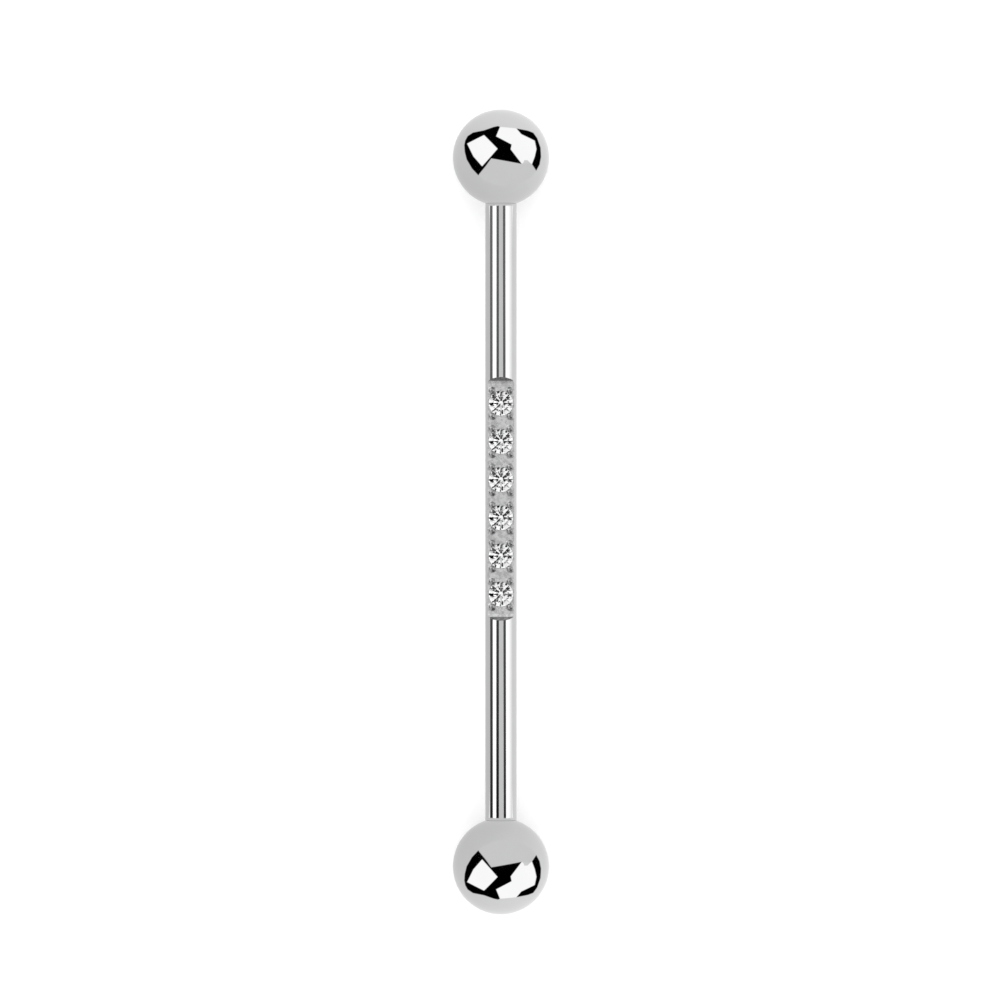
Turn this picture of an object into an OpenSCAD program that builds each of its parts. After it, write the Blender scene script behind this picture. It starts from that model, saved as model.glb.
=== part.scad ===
// An industrial barbell: a straight steel bar with a ball screwed on each end and
// a row of round stones bead-set in a flat milled into the bar. It lies on its
// balls along Y with the stones facing up, and Z is 0 where it rests.

/* [Shaft] */
// Length of the shaft between the two balls
wearable_length = 32; // [28:0.5:45]
// Diameter of the shaft
shaft_d = 1.63; // [1.55:0.01:2.2]
// Chamfer on the two shoulders that the balls seat on
shoulder_chamfer = 0.05; // [0.02:0.01:0.1]

/* [Balls] */
// Diameter of each ball
ball_d = 5; // [4:0.25:8]
// Gap left between a ball's flat mouth and the shaft's shoulder
ball_seat_gap = 0.02; // [0.01:0.01:0.05]
// Chamfer on the mouth of a ball's bore
mouth_chamfer = 0.05; // [0.02:0.01:0.08]

/* [Thread] */
// Crest diameter of the threaded posts
thread_d = 1.2; // [1:0.05:1.3]
// Distance from one crest to the next
thread_pitch = 0.25; // [0.2:0.05:0.35]
// Depth of the thread's grooves
thread_depth = 0.13; // [0.08:0.01:0.16]
// Length of each post, from the shoulder to its tip
post_length = 3; // [2.5:0.25:3.5]
// Undercut between the shoulder and the first crest
post_relief = 0.2; // [0.1:0.05:0.4]
// Chamfer on each post's tip
tip_chamfer = 0.1; // [0.05:0.05:0.2]
// Radial clearance between the crests and a ball's bore
thread_clearance = 0.02; // [0.01:0.01:0.08]
// Space between a post's tip and the floor of its bore
bore_relief = 0.3; // [0.1:0.05:0.5]
// Full angle of the drill point at the bore's floor
drill_angle = 118; // [90:1:140]

/* [Stones] */
// Number of stones in the row
stone_count = 6; // [1:1:7]
// Diameter of each stone at its girdle
stone_d = 1.3; // [1:0.05:1.4]
// Diameter of a stone's table, corner to corner
table_d = 0.74; // [0.6:0.02:0.8]
// Height of a stone from its girdle to its table
crown_h = 0.19; // [0.12:0.01:0.24]
// Height of a stone's girdle
girdle_h = 0.04; // [0.02:0.01:0.06]
// Depth of a stone from its girdle to its point
pavilion_h = 0.56; // [0.45:0.01:0.62]

/* [Setting] */
// Distance of the setting's middle from the shaft's, toward the top ball
setting_offset = 0.68; // [-1:0.02:1]
// Space between the girdles of two neighbouring stones
stone_spacing = 0.68; // [0.6:0.01:0.9]
// Space between the last girdle and the end of the flat
end_margin = 0.36; // [0.28:0.01:0.6]
// Width of flat metal left beside a stone
rail_w = 0.04; // [0.02:0.01:0.06]
// Length of the gentle slope at the foot of the flat's end walls
foot_run = 0.17; // [0.1:0.01:0.25]
// Height of that slope
foot_rise = 0.07; // [0.04:0.01:0.12]
// Lean of the end walls above it, from upright
end_lean = 30; // [15:1:50]
// How far a stone's girdle lies below the flat
girdle_sink = 0.05; // [0.03:0.01:0.08]
// Clearance between a stone and its seat
stone_clearance = 0.02; // [0.01:0.005:0.03]
// How much slimmer the shaft is polished along the setting
setting_polish = 0.005; // [0.002:0.001:0.01]

/* [Beads] */
// Radius of each bead of metal that holds a stone
bead_r = 0.2; // [0.16:0.01:0.22]
// How far the middle of a bead lies below the flat
bead_sink = 0.04; // [0:0.01:0.08]
// How far a bead reaches over a stone's girdle
bead_reach = 0.04; // [0.02:0.01:0.06]
// Angle of a bead around its stone, from the bar's crosswise direction
bead_angle = 54.8; // [50:0.1:60]

/* [Hidden] */
$fn = 96;
overcut = 0.5;
shaft_r = shaft_d / 2;
ball_r = ball_d / 2;
axis_z = ball_r;
half_length = wearable_length / 2;

crest_r = thread_d / 2;
root_r = crest_r - thread_depth;
// Each crest ends in a narrow flat, this share of the pitch on either side
crest_share = 1 / 8;
tip_y = half_length + post_length;
thread_start = half_length + post_relief;
turns = floor((post_length - post_relief - tip_chamfer) / thread_pitch);

bore_r = crest_r + thread_clearance;
bore_depth = post_length + bore_relief;
drill_h = bore_r / tan(drill_angle / 2);
mouth_distance = sqrt(pow(ball_r, 2) - pow(shaft_r, 2));
ball_y = half_length + ball_seat_gap + mouth_distance;

stone_r = stone_d / 2;
table_r = table_d / 2;
pitch = stone_d + stone_spacing;
row_length = (stone_count - 1) * pitch;
flat_length = row_length + stone_d + 2 * end_margin;
flat_z = sqrt(pow(shaft_r, 2) - pow(stone_r + rail_w, 2));
girdle_z = flat_z - girdle_sink;
section_half = flat_length / 2 - end_margin / 4;
bead_distance = stone_r + bead_r - bead_reach;

// A round brilliant has eight main facets above and below, each this wide
sector = 45;
girdle_sides = 16;
// Share of the way from the table's edge to the girdle that the star facets reach
star_share = 0.5;
// Share of the way from the point to the girdle that the lower halves start at
lower_share = 0.23;
star_edge_r = table_r * cos(sector / 2);
star_r = star_edge_r + star_share * (stone_r - star_edge_r);
lower_r = lower_share * stone_r;
crown_slope = crown_h / (stone_r - table_r);
pavilion_slope = pavilion_h / stone_r;
table_z = girdle_h / 2 + crown_h;
point_z = -girdle_h / 2 - pavilion_h;
// These heights keep the four corners of each kite facet in one plane
star_z = table_z - (star_r * cos(sector / 2) - table_r) * crown_slope;
lower_z = point_z + lower_r * cos(sector / 2) * pavilion_slope;
// The seat's upper wall follows the steepest line of the crown, outside it
lip_slope = (star_z - girdle_h / 2) / (stone_r - star_r);
lip_r = star_r + stone_clearance * (1 + 1 / lip_slope);

function reversed(list) = [for (i = [len(list) - 1 : -1 : 0]) list[i]];

// Radius and height pairs of the thread's crests and grooves, from the shoulder out
function thread_profile() = [
    for (i = [0 : turns - 1])
        let (y = thread_start + i * thread_pitch)
            for (p = [
                [crest_r, crest_share],
                [root_r, 1 / 2],
                [crest_r, 1 - crest_share]
            ])
                [p[0], y + p[1] * thread_pitch]
];

// Radius and height pairs of one end of the bar, from the plain shaft to the tip
function end_profile() = concat(
    [
        [shaft_r, half_length - shoulder_chamfer],
        [shaft_r - shoulder_chamfer, half_length],
        [root_r, half_length],
        [root_r, thread_start]
    ],
    thread_profile(),
    [
        [crest_r, tip_y - tip_chamfer],
        [crest_r - tip_chamfer, tip_y],
        [0, tip_y]
    ]
);

// The whole turned bar's outline, with the shaft a little slimmer along the setting
function bar_profile() = concat(
    [for (p = reversed(end_profile())) [p[0], -p[1]]],
    [
        [shaft_r, setting_offset - section_half],
        [shaft_r - setting_polish, setting_offset - section_half],
        [shaft_r - setting_polish, setting_offset + section_half],
        [shaft_r, setting_offset + section_half]
    ],
    end_profile()
);

function around(r, angle, z) = [r * cos(angle), r * sin(angle), z];

// Puts each child at a stone's place in the row, with Z at the middle of its girdle
module at_stone(i) {
    translate([0, setting_offset + row_length / 2 - (i - 1) * pitch, axis_z + girdle_z])
        children();
}

// Lays a shape that was turned about Z along Y, at the height of the bar's axis
module along_y(y, turn) {
    translate([0, y, axis_z])
        rotate([turn, 0, 0])
            children();
}

// The milled flat: all metal above it. Each end slopes up gently, then leans outward.
module flat_cut() {
    rise = shaft_r - flat_z + overcut;
    half = flat_length / 2;
    foot = half + foot_run;
    top = foot + (rise - foot_rise) * tan(end_lean);
    translate([0, setting_offset, axis_z + flat_z])
        rotate([90, 0, 90])
            linear_extrude(height = 2 * shaft_d, center = true)
                polygon([
                    [-half, 0], [half, 0], [foot, foot_rise], [top, rise],
                    [-top, rise], [-foot, foot_rise]
                ]);
}

// The space that a stone needs, with its clearance, open to the top
module seat_cut() {
    wall_r = stone_r + stone_clearance;
    top = shaft_r + overcut;
    rotate_extrude()
        polygon([
            [0, point_z - 2 * stone_clearance],
            [wall_r, -girdle_h / 2],
            [wall_r, girdle_h / 2 + stone_clearance],
            [lip_r, star_z],
            [lip_r, top],
            [0, top]
        ]);
}

// Four beads of metal raised around a stone
module beads() {
    for (side = [-1, 1], end = [-1, 1])
        translate([
            side * bead_distance * cos(bead_angle),
            end * bead_distance * sin(bead_angle),
            girdle_sink - bead_sink
        ])
            sphere(r = bead_r);
}

module bar() {
    color("silver")
        difference() {
            union() {
                difference() {
                    along_y(0, -90)
                        rotate_extrude()
                            polygon(bar_profile());
                    flat_cut();
                }
                for (i = [1 : stone_count])
                    at_stone(i) beads();
            }
            for (i = [1 : stone_count])
                at_stone(i) seat_cut();
        }
}

// A ball with its flat mouth facing down and its threaded bore drilled up into it.
// The sphere is turned so that one of its poles is where the ball rests.
module ball() {
    difference() {
        rotate([90, 0, 0])
            sphere(r = ball_r);
        translate([0, 0, -mouth_distance - ball_r])
            cylinder(r = ball_r, h = ball_r);
        translate([0, 0, -mouth_distance - overcut])
            cylinder(r = bore_r, h = overcut + bore_depth);
        translate([0, 0, -mouth_distance + bore_depth])
            cylinder(r1 = bore_r, r2 = 0, h = drill_h);
        translate([0, 0, -mouth_distance - mouth_chamfer])
            cylinder(r1 = bore_r + 2 * mouth_chamfer, r2 = bore_r, h = 2 * mouth_chamfer);
    }
}

module ball_top() {
    color("gainsboro")
        along_y(ball_y, -90)
            ball();
}

module ball_bottom() {
    color("gainsboro")
        along_y(-ball_y, 90)
            ball();
}

// A round brilliant: rings of corners from the table to the point, and their facets
module brilliant() {
    mains = [0 : 7];
    table = [for (k = mains) around(table_r, k * sector, table_z)];
    stars = [for (k = mains) around(star_r, (k + 0.5) * sector, star_z)];
    upper = [for (k = [0 : girdle_sides - 1]) around(stone_r, k * sector / 2, girdle_h / 2)];
    lower = [for (k = [0 : girdle_sides - 1]) around(stone_r, k * sector / 2, -girdle_h / 2)];
    halves = [for (k = mains) around(lower_r, (k + 0.5) * sector, lower_z)];
    // Where each ring's corners start in the list of all of them
    s = len(table);
    u = s + len(stars);
    l = u + len(upper);
    h = l + len(lower);
    point = h + len(halves);
    polyhedron(
        points = concat(table, stars, upper, lower, halves, [[0, 0, point_z]]),
        faces = concat(
            [reversed([for (k = mains) k])],
            // Star facets, then the kites in two halves
            [for (k = mains) [k, (k + 1) % 8, s + k]],
            [for (k = mains) [k, s + k, u + 2 * k]],
            [for (k = mains) [k, u + 2 * k, s + (k + 7) % 8]],
            // Upper halves
            [for (k = mains) [s + k, u + 2 * k + 1, u + 2 * k]],
            [for (k = mains) [s + k, u + (2 * k + 2) % 16, u + 2 * k + 1]],
            // Girdle
            [for (k = [0 : 15]) [u + k, u + (k + 1) % 16, l + (k + 1) % 16, l + k]],
            // Lower halves
            [for (k = mains) [h + k, l + 2 * k, l + 2 * k + 1]],
            [for (k = mains) [h + k, l + 2 * k + 1, l + (2 * k + 2) % 16]],
            // Pavilion mains in two halves
            [for (k = mains) [point, l + 2 * k, h + k]],
            [for (k = mains) [point, h + (k + 7) % 8, l + 2 * k]]
        )
    );
}

module stone(i) {
    color("lightcyan")
        at_stone(i) brilliant();
}

bar();
ball_top();
ball_bottom();
for (i = [1 : stone_count])
    stone(i);
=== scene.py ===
"""A straight steel barbell for an ear piercing, with a screwed-on ball at each end and six
round stones bead-set in its milled flat, lying on a pale sheet under soft light."""
import math

import bmesh
import bpy
import numpy as np
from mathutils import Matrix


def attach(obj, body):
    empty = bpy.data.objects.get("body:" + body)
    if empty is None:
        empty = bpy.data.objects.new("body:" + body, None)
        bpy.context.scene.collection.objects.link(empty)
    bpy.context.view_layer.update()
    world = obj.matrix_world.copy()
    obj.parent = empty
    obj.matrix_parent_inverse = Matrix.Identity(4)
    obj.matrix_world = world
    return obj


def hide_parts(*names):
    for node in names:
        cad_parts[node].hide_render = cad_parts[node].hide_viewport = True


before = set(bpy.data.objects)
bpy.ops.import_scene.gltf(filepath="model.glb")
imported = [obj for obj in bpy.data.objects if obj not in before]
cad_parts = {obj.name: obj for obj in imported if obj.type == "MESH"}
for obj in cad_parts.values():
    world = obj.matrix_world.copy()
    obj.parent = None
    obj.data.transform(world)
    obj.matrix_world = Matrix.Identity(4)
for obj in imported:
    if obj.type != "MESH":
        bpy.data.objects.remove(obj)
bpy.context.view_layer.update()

# Sizes in millimetres, as in the part's source
AXIS_Z = 2.5
SHAFT_R = 0.815
BALL_R = 2.5
HALF_LENGTH = 16.0
TIP_Y = 19.0
THREAD_START = 16.2
THREAD_PITCH = 0.25
CREST_R = 0.6
ROOT_R = 0.47
TIP_CHAMFER = 0.1
BORE_R = 0.62
BORE_GROOVE_R = 0.69
BORE_DEPTH = 3.3
DRILL_HALF_ANGLE = math.radians(59)
MOUTH = math.sqrt(BALL_R**2 - SHAFT_R**2)
BALL_Y = HALF_LENGTH + 0.02 + MOUTH
MOUTH_LIP = 0.015
MOUTH_RIM = 0.06
MOUTH_ROUND = 0.006
MOUTH_TURN = 0.012
BORE_RIM = 0.09
BORE_CHAMFER = 0.05
BORE_CHAMFER_ROUND = 0.012
BORE_GROOVES = 3.0
SHOULDER_RIM = 0.12
SHOULDER_ROUND = 0.01
RELIEF_RIM = 0.05
RELIEF_ROUND = 0.03
TIP_RIM = 0.04

STONE_R = 0.65
STONE_PITCH = 1.98
END_MARGIN = 0.36
SETTING_OFFSET = 0.68
STONE_Y = [SETTING_OFFSET + (2.5 - i) * STONE_PITCH for i in range(6)]
FLAT_X = 0.69
FLAT_Z = math.sqrt(SHAFT_R**2 - FLAT_X**2)
FOOT_RUN = 0.17
FOOT_RISE = 0.07
END_LEAN = math.radians(30)
GIRDLE_SINK = 0.05
SEAT_R = 0.67
SEAT_POINT = -0.62
LIP_SLOPE = 0.844
BEAD_R = 0.2
BEAD_SINK = 0.04
BEAD_DISTANCE = 0.81
BEAD_ANGLE = math.radians(54.8)
FILLET = 0.04
GIRDLE_HALF = 0.02
SEAT_TOP = 0.04
EVEN_OUT = 0.7

# A steel piece's finishes, in the order of its materials
POLISHED, CUT, DRILLED, THREADED = range(4)


# Surfaces


class Shell:
    """Patches of one surface, each a grid of points, sewn together into one mesh."""

    def __init__(self):
        self.points, self.quads, self.finishes, self.count = [], [], [], 0

    def patch(self, grid, finish=POLISHED, closed=False, climb=0):
        """Adds a grid of points (rows, columns, xyz) in millimetres. A closed grid joins its
        last column to its first, and climb says how many rows further up that meets it."""
        rows, columns = grid.shape[:2]
        index = np.arange(rows * columns).reshape(rows, columns) + self.count
        if closed:
            index = np.hstack([index[: rows - climb], index[climb:, :1]])
        corners = index[:-1, :-1], index[:-1, 1:], index[1:, 1:], index[1:, :-1]
        quads = np.stack(corners, -1).reshape(-1, 4)
        self.points.append(grid.reshape(-1, 3))
        self.quads.append(quads)
        self.finishes.append(np.full(len(quads), finish))
        self.count += rows * columns

    def sew(self, name, materials, sharp=28):
        """One mesh of all patches: points that meet are merged, loose ones are dropped, faces
        point outward, and edges sharper than the given angle stay sharp."""
        mesh = bpy.data.meshes.new(name)
        points = np.concatenate(self.points) * 0.001
        mesh.from_pydata(points.tolist(), [], np.concatenate(self.quads).tolist())
        mesh.polygons.foreach_set("material_index", np.concatenate(self.finishes))
        work = bmesh.new()
        work.from_mesh(mesh)
        bmesh.ops.remove_doubles(work, verts=work.verts, dist=2e-7)
        bmesh.ops.delete(work, geom=[v for v in work.verts if not v.link_faces], context="VERTS")
        bmesh.ops.recalc_face_normals(work, faces=work.faces)
        work.to_mesh(mesh)
        work.free()
        for material in materials:
            mesh.materials.append(material)
        mesh.shade_smooth()
        mesh.set_sharp_from_angle(angle=math.radians(sharp))
        piece = bpy.data.objects.new(name, mesh)
        bpy.context.scene.collection.objects.link(piece)
        return piece


def turned(radii, heights, angles):
    """A lathe profile along Y: each row is a ring, and an angle starts at the top and goes
    toward +X. Radii and heights may differ along a ring."""
    radii, heights, angles = np.broadcast_arrays(radii, heights, angles[None, :])
    return np.stack(
        [radii * np.sin(angles), heights, AXIS_Z + radii * np.cos(angles)], -1
    )


def lathe(profile, angles):
    """The rings of a list of radius and height pairs."""
    radii, heights = np.array(profile).T
    return turned(radii[:, None], heights[:, None], angles)


def other_end(grid):
    """The same patch for the lower end: half a turn about the upright line at the origin."""
    return grid * [-1, -1, 1]


# Of half a pitch, the shares that are root and flank
ROOT_SHARE, FLANK_SHARE = 0.16, 0.62


def screw_thread(root, crest, start, stop, angles, steps=8):
    """A helical thread: each row climbs one pitch in a turn, and across a pitch the radius goes
    root, flank, crest, flank, root. It is held between start and stop, where it runs out."""
    turns = math.ceil((stop - start) / THREAD_PITCH)
    row = np.arange(-steps, (turns + 1) * steps + 1)[:, None]
    heights = start + THREAD_PITCH * (row / steps + angles[None, :] / (2 * math.pi))
    share = np.abs((row / steps) % 1 - 0.5) * 2
    radii = root + (crest - root) * np.clip((share - ROOT_SHARE) / FLANK_SHARE, 0, 1)
    radii = np.where((heights <= start) | (heights >= stop), root, radii)
    return turned(radii, np.clip(heights, start, stop), angles), steps


def rounded(profile, corner, reach, steps=4):
    """A profile with one corner replaced by a curve that starts and ends reach away from it:
    a parabola through the two cut points and toward the corner."""
    before, at, after = (np.array(profile[corner + k]) for k in (-1, 0, 1))
    a = at + (before - at) / np.linalg.norm(before - at) * reach
    b = at + (after - at) / np.linalg.norm(after - at) * reach
    t = np.linspace(0, 1, steps + 1)[:, None]
    curve = (1 - t) ** 2 * a + 2 * t * (1 - t) * at + t**2 * b
    return profile[:corner] + [tuple(p) for p in curve] + profile[corner + 1 :]


FLAT_EDGE = math.acos(FLAT_Z / SHAFT_R)
CROWN = np.linspace(-FLAT_EDGE, FLAT_EDGE, 37)
BELLY = np.linspace(FLAT_EDGE, 2 * math.pi - FLAT_EDGE, 97)
AROUND = np.concatenate([CROWN[:-1], BELLY[:-1]])
SIDE_STEPS = 30


def wall_run(rise):
    """How far outward a flat's end wall has run at a height above the flat: a gentle slope at
    its foot, and a straight lean above that."""
    foot = np.clip(rise / FOOT_RISE, 0, 1) * FOOT_RUN
    return foot + np.clip(rise - FOOT_RISE, 0, None) * math.tan(END_LEAN)


def bar_end(flat_end):
    """One end of the bar, from the flat to the post's tip. The first ring follows the edge
    that the leaning end wall cuts into the round shaft, and the next ones even out."""
    meet = flat_end + EVEN_OUT
    blend = np.linspace(0, 1, 9)[:, None]
    first = (flat_end + wall_run(SHAFT_R * np.cos(AROUND) - FLAT_Z))[None, :]
    yield turned(SHAFT_R, first + (meet - first) * blend, AROUND), POLISHED, 0
    edge = HALF_LENGTH - 0.1
    straight = [(SHAFT_R, y) for y in np.linspace(meet, edge, 12)[:-1]]
    shoulder = [(SHAFT_R, edge), (SHAFT_R, HALF_LENGTH), (SHAFT_R - SHOULDER_RIM, HALF_LENGTH)]
    shoulder = rounded(shoulder, 1, SHOULDER_ROUND)
    relief = [(ROOT_R + RELIEF_RIM, HALF_LENGTH), (ROOT_R, HALF_LENGTH), (ROOT_R, THREAD_START)]
    relief = rounded(relief, 1, RELIEF_ROUND)
    yield lathe(straight + shoulder + relief, AROUND), POLISHED, 0
    grid, climb = screw_thread(ROOT_R, CREST_R, THREAD_START, TIP_Y, AROUND)
    # The tip's chamfer cuts the last turns down
    y = grid[:, :, 1]
    limit = np.clip((CREST_R - TIP_CHAMFER + TIP_Y - y), ROOT_R, None)
    across = grid[:, :, [0, 2]] - [0, AXIS_Z]
    radius = np.linalg.norm(across, axis=-1)
    across *= (np.minimum(radius, limit) / radius)[:, :, None]
    grid[:, :, 0], grid[:, :, 2] = across[:, :, 0], across[:, :, 1] + AXIS_Z
    yield grid, THREADED, climb
    tip = [(ROOT_R, TIP_Y), (ROOT_R - TIP_RIM, TIP_Y), (0, TIP_Y)]
    yield lathe(tip, AROUND), POLISHED, 0


def end_wall(flat_end):
    """A flat's end wall: it follows wall_run from the flat up to the shaft's round."""
    full = np.clip(SHAFT_R * np.cos(CROWN) - FLAT_Z, 0, None)[None, :]
    foot = np.minimum(full, FOOT_RISE) * np.linspace(0, 1, 5)[:, None]
    rise = np.concatenate([foot, foot[-1:] + (full - foot[-1:]) * np.linspace(0, 1, 7)[1:, None]])
    x = np.broadcast_to(SHAFT_R * np.sin(CROWN), rise.shape)
    return np.stack([x, flat_end + wall_run(rise), AXIS_Z + FLAT_Z + rise], -1)


def bead_height(x, y):
    """How far the metal stands above the flat beside a stone: four beads, each the cap of a
    sphere, with a hollow fillet at its foot."""
    height = np.zeros_like(x)
    for side in (-1, 1):
        for end in (-1, 1):
            away = np.hypot(
                x - side * BEAD_DISTANCE * math.cos(BEAD_ANGLE),
                y - end * BEAD_DISTANCE * math.sin(BEAD_ANGLE),
            )
            cap = np.sqrt(np.clip(BEAD_R**2 - away**2, 0, None))
            cap = cap - BEAD_SINK - 2 * np.clip(away - BEAD_R, 0, None)
            overlap = np.clip(FILLET - np.abs(cap - height), 0, None)
            height = np.maximum(cap, height) + overlap**2 / (4 * FILLET)
    return height


def lip_height(radius):
    """The seat's upper wall over a stone's crown, measured from the flat: it leans inward from
    the top of the seat's upright wall."""
    return (SEAT_R - radius) * LIP_SLOPE + SEAT_TOP - GIRDLE_SINK


def seat_edge(angle):
    """The radius where the top of the metal meets the seat's upper wall, by halving."""
    low, high = np.full_like(angle, 0.5), np.full_like(angle, SEAT_R - 0.008)
    for _ in range(40):
        middle = (low + high) / 2
        top = bead_height(middle * np.cos(angle), middle * np.sin(angle))
        above = top >= lip_height(middle)
        high, low = np.where(above, middle, high), np.where(above, low, middle)
    return high


def setting_tile(number):
    """One stone's piece of the flat. Each column runs from the seat's point up its wall and
    out to a point on the tile's rectangle, so that neighbouring tiles meet."""
    middle = STONE_Y[number]
    last = STONE_R + END_MARGIN
    above = last if number == 0 else STONE_PITCH / 2
    below = last if number == 5 else STONE_PITCH / 2
    side = np.linspace(-below, above, SIDE_STEPS + 1)
    cross = SHAFT_R * np.sin(CROWN)
    rim_x = np.concatenate(
        [np.full(SIDE_STEPS, FLAT_X), cross[:0:-1], np.full(SIDE_STEPS, -FLAT_X), cross[:-1]]
    )
    rim_y = np.concatenate(
        [side[:-1], np.full(len(cross) - 1, above), side[:0:-1], np.full(len(cross) - 1, -below)]
    )
    angle, reach = np.arctan2(rim_y, rim_x), np.hypot(rim_x, rim_y)
    edge = seat_edge(angle)
    seat_r = np.array([0, 0.15, 0.3, 0.45, 0.6, SEAT_R - 0.01, SEAT_R, SEAT_R, SEAT_R])
    seat_rows = len(seat_r)
    seat_z = SEAT_POINT + np.minimum(seat_r / SEAT_R, 1) * (-SEAT_POINT - GIRDLE_HALF)
    seat_z[-3:] = np.linspace(-GIRDLE_HALF, SEAT_TOP, 3)
    seat_r = np.broadcast_to(seat_r[:, None], (seat_rows, len(angle)))
    seat_z = np.broadcast_to(seat_z[:, None] - GIRDLE_SINK, (seat_rows, len(angle)))
    half_way = (SEAT_R + edge) / 2
    lip_r, lip_z = half_way[None, :], lip_height(half_way)[None, :]
    out = np.linspace(0, 1, 29)[:, None]
    top_r = edge + (reach - edge) * out
    top_z = bead_height(top_r * np.cos(angle), top_r * np.sin(angle))
    radius = np.concatenate([seat_r, lip_r, top_r])
    height = np.concatenate([seat_z, lip_z, top_z])
    x, y = radius * np.cos(angle), middle + radius * np.sin(angle)
    grid = np.stack([x, y, AXIS_Z + FLAT_Z + height], -1)
    grid[-1, :, 0], grid[-1, :, 1] = rim_x, middle + rim_y
    return grid, seat_rows, middle + side


def make_bar(materials):
    """The bar in one shell: both ends, the round belly under the flat, the flat's end walls,
    and a tile of the flat around each stone."""
    shell = Shell()
    half = (5 * STONE_PITCH + 2 * STONE_R + 2 * END_MARGIN) / 2
    top, bottom = SETTING_OFFSET + half, SETTING_OFFSET - half
    for flat_end, place in ((top, lambda g: g), (-bottom, other_end)):
        for grid, finish, climb in bar_end(flat_end):
            shell.patch(place(grid), finish, closed=True, climb=climb)
        shell.patch(place(end_wall(flat_end)), CUT)
    stations = []
    for number in range(6):
        grid, seat_rows, side = setting_tile(number)
        shell.patch(grid[:seat_rows], DRILLED, closed=True)
        shell.patch(grid[seat_rows - 1 :], CUT, closed=True)
        stations.append(side)
    along = np.unique(np.round(np.concatenate(stations), 7))
    shell.patch(turned(SHAFT_R, along[:, None], BELLY))
    return shell.sew("barbell_bar", materials)


def make_ball(name, place, materials):
    """A ball turned about the bar's line: the round outside from its pole to the flat mouth,
    the mouth's eased edge, which is screwed up close to the bar's shoulder, and the tapped bore
    down to the drill's point."""
    angles = np.linspace(0, 2 * math.pi, 193)[:-1]
    mouth_angle = math.pi - math.asin(SHAFT_R / BALL_R)
    swing = np.linspace(0, mouth_angle - MOUTH_TURN, 104)
    outside = [(BALL_R * math.sin(a), BALL_R * math.cos(a)) for a in swing]
    face = -MOUTH - MOUTH_LIP
    mouth = [outside[-1], (SHAFT_R, face), (SHAFT_R - MOUTH_RIM, face)]
    mouth = rounded(mouth, 1, MOUTH_ROUND)[1:]
    chamfer_top = BORE_CHAMFER - MOUTH
    chamfer = [(BORE_R + BORE_RIM, face), (BORE_R + BORE_CHAMFER, face),
               (BORE_R, chamfer_top)]
    chamfer = rounded(chamfer, 1, BORE_CHAMFER_ROUND)
    shell = Shell()
    shift = np.array([0, BALL_Y, 0])
    shell.patch(place(lathe(outside + mouth + chamfer, angles) + shift), closed=True)
    groove_end = BORE_GROOVES - MOUTH
    grid, climb = screw_thread(BORE_R, BORE_GROOVE_R, chamfer_top, groove_end, angles)
    shell.patch(place(grid + shift), THREADED, closed=True, climb=climb)
    floor, point = BORE_DEPTH - MOUTH, BORE_R / math.tan(DRILL_HALF_ANGLE)
    bore = [(BORE_R, groove_end), (BORE_R, floor), (BORE_R / 2, floor + point / 2),
            (0, floor + point)]
    shell.patch(place(lathe(bore, angles) + shift), DRILLED, closed=True)
    return shell.sew(name, materials)


# Finishes


class Wire:
    """A node's output, so that shader maths can be written as arithmetic."""

    def __init__(self, bench, socket):
        self.bench, self.socket = bench, socket

    def maths(self, operation, *values):
        inputs = dict(enumerate((self, *values)))
        return self.bench.node("Math", {"operation": operation}, inputs)

    def __add__(self, other):
        return self.maths("ADD", other)

    def __sub__(self, other):
        return self.maths("SUBTRACT", other)

    def __rsub__(self, other):
        return (self * -1) + other

    def __mul__(self, other):
        return self.maths("MULTIPLY", other)

    __radd__, __rmul__ = __add__, __mul__

    def step(self, low, high):
        """0 below low, 1 above high, and smooth between."""
        return self.bench.node(
            "MapRange",
            {"interpolation_type": "SMOOTHSTEP"},
            {"Value": self, "From Min": low, "From Max": high},
        )


class Bench:
    """A material on the bench: its nodes are added one by one and end in its surface."""

    def __init__(self, name):
        self.material = bpy.data.materials.new(name)
        self.material.use_nodes = True
        self.tree = self.material.node_tree
        self.tree.nodes.clear()

    def node(self, kind, settings=None, inputs=None, output=0):
        """Adds a node of that kind, with its settings first and then its inputs, each a value
        or a wire, and gives one of its outputs."""
        made = self.tree.nodes.new("ShaderNode" + kind)
        for name, value in (settings or {}).items():
            if name == "stops":
                ramp = made.color_ramp
                for _ in value[2:]:
                    ramp.elements.new(0.5)
                for stop, (place, grey) in zip(ramp.elements, value):
                    stop.position, stop.color = place, (grey, grey, grey, 1)
            else:
                setattr(made, name, value)
        for name, value in (inputs or {}).items():
            if isinstance(value, Wire):
                self.tree.links.new(value.socket, made.inputs[name])
            else:
                made.inputs[name].default_value = value
        return Wire(self, made.outputs[output])

    def place(self, *stretch):
        """Object coordinates in millimetres, stretched along each axis."""
        coordinates = self.node("TexCoord", output="Object")
        factors = tuple(1000 * s for s in stretch or (1, 1, 1))
        return self.node(
            "VectorMath", {"operation": "MULTIPLY"}, {0: coordinates, 1: factors}
        )

    def noise(self, where, scale, detail=3, roughness=0.5):
        return self.node(
            "TexNoise",
            {"noise_dimensions": "3D"},
            {"Vector": where, "Scale": scale, "Detail": detail, "Roughness": roughness},
        )

    def mixed(self, mask, low, high):
        """One colour where the mask is 0 and another where it is 1."""
        return self.node("Mix", {"data_type": "RGBA"}, {0: mask, 6: low, 7: high}, output=2)

    def tint(self, mask, low, high):
        """A colour between two shades, by a mask."""
        return self.mixed(mask, (*low, 1), (*high, 1))

    def surface(self, shader):
        out = self.tree.nodes.new("ShaderNodeOutputMaterial")
        self.tree.links.new(shader.socket, out.inputs["Surface"])
        return self.material


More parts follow.
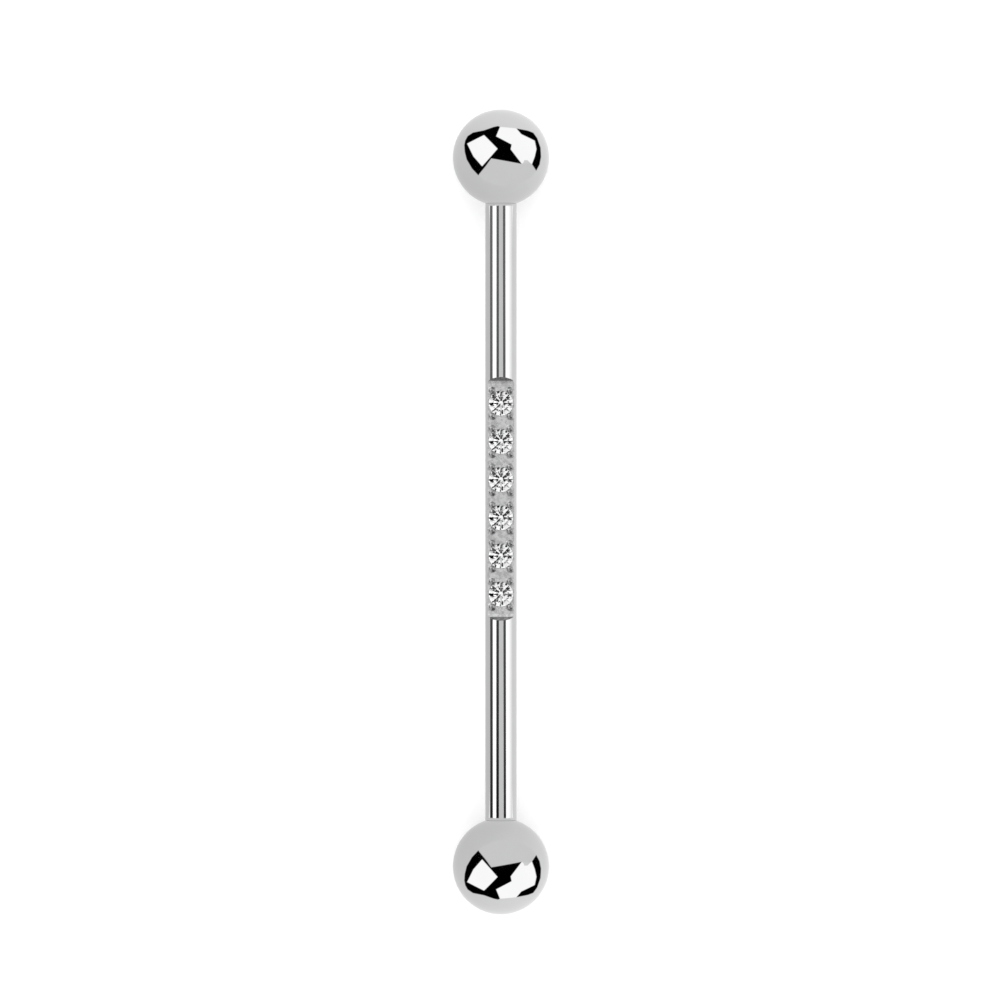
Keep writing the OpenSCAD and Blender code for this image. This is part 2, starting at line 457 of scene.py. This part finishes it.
def polished_steel(name, shade, turning):
    """Mirror-polished steel: cloudy wiping marks and hair-fine polishing rings about the bar,
    which are only just visible in its sheen."""
    bench = Bench(name)
    cloud = bench.noise(bench.place(), 0.9, 4)
    hair = bench.noise(bench.place(1, turning, 1), 6, 5, 0.6)
    speck = bench.noise(bench.place(), 14, 2).step(0.66, 0.72)
    colour = bench.tint(
        cloud.step(0.3, 0.7) * 0.7 + hair * 0.3, [c * 0.975 for c in shade], shade
    )
    rough = 0.018 + cloud.step(0.42, 0.75) * 0.018 + hair * 0.014 + speck * 0.012
    bump = bench.node(
        "Bump", None, {"Strength": 0.012, "Distance": 0.00001, "Height": hair + cloud * 0.5}
    )
    return bench.surface(
        bench.node(
            "BsdfPrincipled",
            None,
            {
                "Base Color": colour,
                "Metallic": 1.0,
                "Roughness": rough,
                "Normal": bump,
            },
        )
    )


def cut_steel(name, shade):
    """Steel cut with a graver: short bright strokes across the flat, blotchy between the stones
    and burnished smooth on top of the beads, whose colour there is darkened as painted shade."""
    bench = Bench(name)
    stroke = bench.noise(bench.place(0.45, 1.6, 1), 9, 4, 0.6)
    blotch = bench.noise(bench.place(), 5, 3)
    height = bench.node("SeparateXYZ", None, {0: bench.place()}, output="Z")
    burnished_and_shaded = height.step(AXIS_Z + FLAT_Z + 0.03, AXIS_Z + FLAT_Z + 0.1)
    flat = bench.tint(blotch.step(0.38, 0.62), [c * 0.8 for c in shade], [c * 1.1 for c in shade])
    # Painted shade: on top of the beads the steel's colour is made much darker than on the flat
    painted_bead_shade = bench.tint(blotch, [c * 0.35 for c in shade], [c * 0.65 for c in shade])
    colour = bench.mixed(burnished_and_shaded, flat, painted_bead_shade)
    rough = (1 - burnished_and_shaded) * (0.2 + blotch * 0.16) + burnished_and_shaded * 0.1
    bump = bench.node(
        "Bump",
        None,
        {
            "Strength": (1 - burnished_and_shaded * 0.8) * 0.5,
            "Distance": 0.00003,
            "Height": stroke + blotch * 0.5,
        },
    )
    return bench.surface(
        bench.node(
            "BsdfPrincipled",
            None,
            {"Base Color": colour, "Metallic": 1.0, "Roughness": rough, "Normal": bump},
        )
    )


def drilled_steel(name, shade):
    """The inside of a drilled seat or bore: fine rings left by the drill, duller than polish."""
    bench = Bench(name)
    ring = bench.noise(bench.place(1, 1, 8), 4, 3)
    colour = bench.tint(ring, [c * 0.8 for c in shade], shade)
    return bench.surface(
        bench.node(
            "BsdfPrincipled",
            None,
            {"Base Color": colour, "Metallic": 1.0, "Roughness": 0.22 + ring * 0.15},
        )
    )


def threaded_steel(name, shade):
    """Screw flanks: bright on the crests and a little darker and duller down in the grooves; the
    darker colour in the grooves is painted shade.
    """
    bench = Bench(name)
    where = bench.place()
    x = bench.node("SeparateXYZ", None, {0: where}, output="X")
    z = bench.node("SeparateXYZ", None, {0: where}, output="Z") - AXIS_Z
    radius = (x * x + z * z).maths("SQRT")
    crest = radius.step(ROOT_R, CREST_R)
    hair = bench.noise(bench.place(1, 12, 1), 5, 4)
    # Painted shade: the colour is darker toward the thread's roots
    colour = bench.tint(crest * 0.7 + hair * 0.3, [c * 0.72 for c in shade], shade)
    return bench.surface(
        bench.node(
            "BsdfPrincipled",
            None,
            {"Base Color": colour, "Metallic": 1.0, "Roughness": 0.2 - crest * 0.08 + hair * 0.08},
        )
    )


def clear_stone():
    """A clear faceted stone: glass as bright as a zirconia, with facets that are not quite
    equally polished."""
    bench = Bench("clear_stone")
    polish = bench.noise(bench.place(), 2.5, 3)
    colour = bench.tint(polish.step(0.3, 0.7), (0.97, 0.975, 0.985), (1, 1, 1))
    return bench.surface(
        bench.node(
            "BsdfPrincipled",
            None,
            {
                "Base Color": colour,
                "Roughness": polish.step(0.55, 0.8) * 0.02,
                "IOR": 2.15,
                "Specular Tint": (0.25, 0.25, 0.26, 1),
                "Transmission Weight": 1.0,
            },
        )
    )


def pale_sheet():
    """The floor: matt white board with a very faint tooth."""
    bench = Bench("pale_sheet")
    tooth = bench.noise(bench.place(), 1.5, 4)
    return bench.surface(
        bench.node(
            "BsdfPrincipled",
            None,
            {
                "Base Color": bench.tint(tooth, (0.945, 0.945, 0.945), (0.96, 0.96, 0.96)),
                "Roughness": 0.9,
                "Specular IOR Level": 0.0,
            },
        )
    )


# Camera and light, in metres

EYE = np.array([-0.00005, 0.00062, 0.4350])
SEEN_WIDTH = 0.0519
SENSOR = 36
AIR = 1.42


def set_camera():
    """A long lens straight above the barbell, with its top ball up in the picture."""
    lens = bpy.data.cameras.new("camera")
    lens.sensor_width = SENSOR
    lens.lens = SENSOR * (EYE[2] - AXIS_Z * 0.001) / SEEN_WIDTH
    lens.clip_start, lens.clip_end = 0.01, 20
    camera = bpy.data.objects.new("camera", lens)
    camera.location = EYE
    bpy.context.scene.collection.objects.link(camera)
    bpy.context.scene.camera = camera


def set_air():
    """Soft white light from all round."""
    world = bpy.data.worlds.new("soft_light")
    world.use_nodes = True
    sky = world.node_tree.nodes["Background"]
    sky.inputs["Color"].default_value = (1, 1, 1, 1)
    sky.inputs["Strength"].default_value = AIR
    bpy.context.scene.world = world


def lay_sheet(material):
    """A wide flat sheet under the balls."""
    mesh = bpy.data.meshes.new("sheet")
    mesh.from_pydata([(-3, -3, 0), (3, -3, 0), (3, 3, 0), (-3, 3, 0)], [], [(0, 1, 2, 3)])
    mesh.materials.append(material)
    sheet = bpy.data.objects.new("sheet", mesh)
    bpy.context.scene.collection.objects.link(sheet)


def studio_card(name, grid, glow, veil=0.0, stones=False):
    """A lit or black card of the studio: a grid of points in metres, how bright each is and how
    far it is see-through. It shows only from its front, in the steel or else through the
    stones, and neither lights nor shades the sheet."""
    rows, columns = grid.shape[:2]
    index = np.arange(rows * columns).reshape(rows, columns)
    corners = index[:-1, :-1], index[1:, :-1], index[1:, 1:], index[:-1, 1:]
    mesh = bpy.data.meshes.new(name)
    quads = np.stack(corners, -1).reshape(-1, 4)
    mesh.from_pydata(grid.reshape(-1, 3).tolist(), [], quads.tolist())
    bench = Bench(name)
    for word, values in (("glow", glow), ("veil", veil)):
        level = mesh.attributes.new(word, "FLOAT", "POINT")
        values = np.broadcast_to(values, (rows, columns)).astype(np.float32)
        level.data.foreach_set("value", values.ravel())
    glow_level = bench.node("Attribute", {"attribute_name": "glow"}, output="Fac")
    veil_level = bench.node("Attribute", {"attribute_name": "veil"}, output="Fac")
    back = bench.node("NewGeometry", output="Backfacing").maths("MAXIMUM", veil_level)
    lit = bench.node("Emission", None, {"Strength": glow_level})
    clear = bench.node("BsdfTransparent")
    mesh.materials.append(bench.surface(bench.node("MixShader", None, {0: back, 1: lit, 2: clear})))
    card = bpy.data.objects.new(name, mesh)
    bpy.context.scene.collection.objects.link(card)
    card.visible_camera = card.visible_diffuse = card.visible_shadow = False
    card.visible_volume_scatter = False
    card.visible_transmission, card.visible_glossy = stones, not stones
    return card


def within(u, v, outline, soft=0.012):
    """How far inside an outline each point is: 1 inside, 0 outside, soft across its edge."""
    ring = np.array(outline)
    start, end = ring, np.roll(ring, -1, axis=0)
    here = np.stack([u, v], -1)[..., None, :]
    along = end - start
    share = ((here - start) * along).sum(-1) / (along**2).sum(-1)
    near = start + np.clip(share, 0, 1)[..., None] * along
    distance = np.linalg.norm(here - near, axis=-1).min(-1)
    y, y0, y1 = here[..., 1], start[:, 1], end[:, 1]
    crosses = (y0 > y) != (y1 > y)
    rise = np.where(y1 == y0, 1, y1 - y0)
    at = start[:, 0] + (y - y0) / rise * (end[:, 0] - start[:, 0])
    inside = (crosses & (here[..., 0] < at)).sum(-1) % 2 == 1
    return np.clip(0.5 + np.where(inside, distance, -distance) / soft, 0, 1)


# Outlines of what each ball mirrors, on a disc of radius 1 with the bar toward -Y
BLACK_CARDS = [
    [(-.35, .57), (-.58, .53), (-.69, .46), (-.74, .37), (-.76, .27), (-.75, .13), (-.71, -.03),
     (-.6, -.22), (-.47, -.36), (-.39, -.18), (-.57, .03), (-.7, .3), (-.35, .47)],
    [(-.35, .57), (-.35, .47), (-.07, .18), (-.2, .03), (-.39, -.18), (-.47, -.36), (-.31, -.17),
     (-.2, -.02), (.43, -.13), (.2, .17), (.22, .27), (-.1, .44), (-.02, .64), (-.06, .66),
     (-.15, .64)],
    [(.32, .61), (.56, .57), (.67, .53), (.75, .42), (.82, .22), (.83, .03), (.8, -.13),
     (.73, -.26), (.64, -.13), (.7, .03), (.735, .19), (.7, .36), (.42, .49)],
]
WHITE_CARDS = [
    [(-.7, .3), (-.35, .47), (-.07, .18), (-.2, .03), (-.39, -.18), (-.57, .03)],
    [(-.02, .64), (.32, .61), (.42, .49), (.69, .37), (.73, .19), (.695, .03), (.64, -.13),
     (.59, -.09), (.55, -.05), (.48, -.05), (.47, -.09), (.43, -.13), (.2, .17), (.22, .27),
     (-.1, .44)],
]
LOW_ROOM = [(-.47, -.36), (-.31, -.17), (-.2, -.02), (.43, -.13), (.6, -.1), (.66, -.14),
            (.73, -.26), (.62, -.4), (.4, -.52), (.1, -.585), (-.15, -.55), (-.35, -.46)]

# How bright the white cards and the low room are, and the tent's radius and its floor's
# height in metres
WHITE_GLOW, LOW_GLOW = 1.38, 0.83
TENT_R, TENT_FLOOR = 0.005, 0.00003
# How far out the disc goes, and how far the top ball's picture is moved toward the bar
DISC_EDGE, TOP_SHIFT = 0.998, 0.035


def disc(steps, edge):
    """A disc as a square grid of steps by steps, whose points past its edge are drawn in to it.
    A third coordinate makes each point one unit long, as on a dome."""
    u, v = np.meshgrid(np.linspace(-edge, edge, steps), np.linspace(-edge, edge, steps))
    rim = np.maximum(np.hypot(u, v), 1e-9)
    u, v = u * np.minimum(1, edge / rim), v * np.minimum(1, edge / rim)
    return np.stack([u, v, np.sqrt(1 - u**2 - v**2)], -1)


def hang_ball_cards(end):
    """The tent of cards that goes with one ball: a round roof, a floor and a front wall across
    the bar's end. A point of the disc is a point of the ball as the camera sees it, and its card
    is where the ball mirrors it: the first of roof, floor and wall that the mirrored ray meets."""
    centre = np.array([0, end * BALL_Y, AXIS_Z]) * 0.001
    normal = disc(281, DISC_EDGE)
    u, v = normal[..., 0], normal[..., 1]
    spot = centre + BALL_R * 0.001 * normal
    sight = spot - EYE
    sight /= np.linalg.norm(sight, axis=-1, keepdims=True)
    mirrored = sight - 2 * (sight * normal).sum(-1, keepdims=True) * normal
    from_centre = spot - centre
    ahead = (from_centre * mirrored).sum(-1)
    roof = -ahead + np.sqrt(ahead**2 - (from_centre**2).sum(-1) + TENT_R**2)
    down, inward = -mirrored[..., 2], -mirrored[..., 1] * end
    floor = np.where(down > 0.001, (spot[..., 2] - TENT_FLOOR) / np.maximum(down, 0.001), 1)
    to_wall = spot[..., 1] * end - HALF_LENGTH * 0.001
    wall = np.where(inward > 0.001, np.maximum(to_wall, 0.00002) / np.maximum(inward, 0.001), 1)
    reach = np.minimum(np.minimum(roof, floor), wall)
    grid = spot + mirrored * reach[..., None]
    up = v * end + (TOP_SHIFT if end > 0 else 0)
    glow = 0.86 + 0.09 * u + 0.1 * up
    glow += (LOW_GLOW - glow) * within(u, up, LOW_ROOM, 0.05)
    for outline in WHITE_CARDS:
        glow += (WHITE_GLOW - glow) * within(u, up, outline)
    black = sum(within(u, up, outline) for outline in BLACK_CARDS)
    glow *= 1 - np.clip(black, 0, 1)
    ball = "ball_top" if end > 0 else "ball_bottom"
    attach(studio_card(ball + "_cards", grid, glow), ball)


# In millimetres
BAR_TENT_R = 80


def hang_bar_card(name, low, high, glow, fade=None):
    """A long card over the bar: part of a round tent from one angle off the vertical to another.
    An angle or brightness may be a pair, for the bar's lower end and its upper end, and fade is
    a brightness that the card comes down to at its outer edge, from two fifths of its width."""
    across, y = np.meshgrid(np.linspace(0, 1, 25), np.linspace(-24, 24, 49))
    share = np.clip((y + 19) / 34, 0, 1)
    low, high, level = (
        pair[0] + (pair[1] - pair[0]) * share if isinstance(pair, tuple) else pair
        for pair in (low, high, glow)
    )
    angle = np.radians(low + (high - low) * across)
    if fade is not None:
        level = level + (fade - level) * np.clip(across / 0.6 - 0.67, 0, 1)
    x, z = BAR_TENT_R * np.sin(angle), AXIS_Z + BAR_TENT_R * np.cos(angle)
    studio_card(name, np.stack([x, y, z], -1) * 0.001, level)


def lay_low_card(name, side, glow):
    """A grey card lying beside the bar, which its lower flank mirrors."""
    out, along = np.linspace(0.02, BAR_TENT_R, 5), np.linspace(-16.5, 16.5, 5)
    x, y = np.meshgrid(out * side, along * -side)
    studio_card(name, np.stack([x, y, np.full(x.shape, 0.02)], -1) * 0.001, glow)


# The directions of the window and of the dark corner, and the room's radius in metres
WINDOW, CORNER, ROOM_R = (-0.6, 0.62, 0.5), (0.56, -0.66, 0.5), 0.15


def hang_surround():
    """The far walls and ceiling of the room, half a globe round the bench: grey, with a wide
    window at the upper left and a dark corner opposite."""
    polar, azimuth = np.meshgrid(
        np.radians(np.linspace(0, 90, 61)), np.radians(np.linspace(0, 360, 121)), indexing="ij"
    )
    azimuth = azimuth[:, ::-1]
    way = np.stack([np.sin(polar) * np.cos(azimuth), np.sin(polar) * np.sin(azimuth),
                    np.cos(polar)], -1)
    window = np.clip((way @ np.array(WINDOW) - 0.85) / 0.08, 0, 1)
    corner = np.clip((way @ np.array(CORNER) - 0.775) / 0.1, 0, 1)
    glow = 0.84 + 0.9 * window - 0.7 * corner
    studio_card("surround", way * ROOM_R, glow)


# Outlines of what the stones gather from overhead, on a disc of directions with +Y up
DARK_OVERHEAD = [
    [(-.3, -.2), (-.3, .14), (-.16, .2), (-.3, .4), (-.26, .54), (-.04, .46), (.1, .54), (.2, .3),
     (.2, .1), (.12, -.02), (.0, -.08), (-.1, -.2), (-.2, -.24)],
    [(.36, .26), (.3, .5), (.46, .56), (.54, .3), (.46, .2)],
    [(.46, .04), (.58, .0), (.58, -.14), (.5, -.14), (.4, -.06)],
    [(-.58, .1), (-.48, .08), (-.48, -.06), (-.58, -.04)],
]
LIT_OVERHEAD = [
    [(-.44, .22), (-.44, -.1), (-.32, -.14), (-.32, .2)],
    [(-.06, .26), (-.05, .14), (.05, .14), (.06, .26)],
]
GLOBE_R, LIT_GLOW = 0.4, 1.5


def hang_stone_cards():
    """The overhead cards that the stones gather, on a wide globe. A point of the disc is a
    direction: its height over the disc makes it one unit long."""
    way = disc(221, 0.99)
    u, v = way[..., 0], way[..., 1]
    glow = 0.9 + 0.15 * np.clip(-v / 0.2, 0, 1)
    for outline in DARK_OVERHEAD:
        glow *= 1 - within(u, v, outline, 0.04)
    for outline in LIT_OVERHEAD:
        glow += (LIT_GLOW - glow) * within(u, v, outline, 0.04)
    middle = [0, SETTING_OFFSET * 0.001, 0]
    studio_card("stone_cards", way * GLOBE_R + middle, glow, stones=True)


NECK_R, NECK_GLOW = 0.84, 0.76


def wrap_neck(end):
    """A grey collar round the bar's end, which hides the ball's tent from it. Its edge is where
    the ball's outline would cross the bar, and it thins out there."""
    angle, y = np.meshgrid(
        np.linspace(0, 2 * math.pi, 97), HALF_LENGTH - np.linspace(0.2, -0.02, 23)
    )
    x = NECK_R * np.sin(angle)
    grid = np.stack([x, y * end, AXIS_Z + NECK_R * np.cos(angle)], -1)
    edge = BALL_Y - np.sqrt(BALL_R**2 - x**2)
    veil = np.clip(0.5 + (edge - y) / 0.04, 0, 1)
    if end < 0:
        grid, veil = grid[::-1], veil[::-1]
    name = "neck_card_top" if end > 0 else "neck_card_bottom"
    studio_card(name, grid * 0.001, NECK_GLOW, veil)


set_camera()
set_air()
lay_sheet(pale_sheet())

STEEL_SHADE = (0.69, 0.69, 0.695)
bar_finishes = [
    polished_steel("bar_polish", STEEL_SHADE, 14),
    cut_steel("graver_cut", STEEL_SHADE),
    drilled_steel("drilled_seat", STEEL_SHADE),
    threaded_steel("cut_thread", STEEL_SHADE),
]
ball_finishes = [polished_steel("ball_polish", STEEL_SHADE, 4), *bar_finishes[1:]]

bar = make_bar(bar_finishes)
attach(bar, "bar")
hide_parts("bar")

for name, place in (("ball_top", lambda g: g), ("ball_bottom", other_end)):
    ball = make_ball("screw_" + name, place, ball_finishes)
    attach(ball, name)
    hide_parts(name)

stone_finish = clear_stone()
for number in range(1, 7):
    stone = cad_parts[f"stone_{number}"]
    for slot in stone.material_slots:
        slot.material = stone_finish

hang_surround()
hang_stone_cards()
for end in (1, -1):
    hang_ball_cards(end)
    wrap_neck(end)
lay_low_card("left_low_card", -1, 0.72)
lay_low_card("right_low_card", 1, 0.88)
hang_bar_card("left_edge", -93, (-86, -88), 0.74)
hang_bar_card("left_flag", (-86, -88), (-62, -64), (0.02, 0.19))
hang_bar_card("left_panel", (-62, -64), (-35, -33), 1.5)
hang_bar_card("left_line", (-35, -33), -15, (0.01, 0.15))
hang_bar_card("ceiling", -15, (20, 14), 0.8)
hang_bar_card("right_line", (20, 14), (38, 33), (0.04, 0.18))
hang_bar_card("right_panel", (38, 33), 92, 1.5, fade=0.93)

bpy.context.scene.view_settings.view_transform = "Standard"
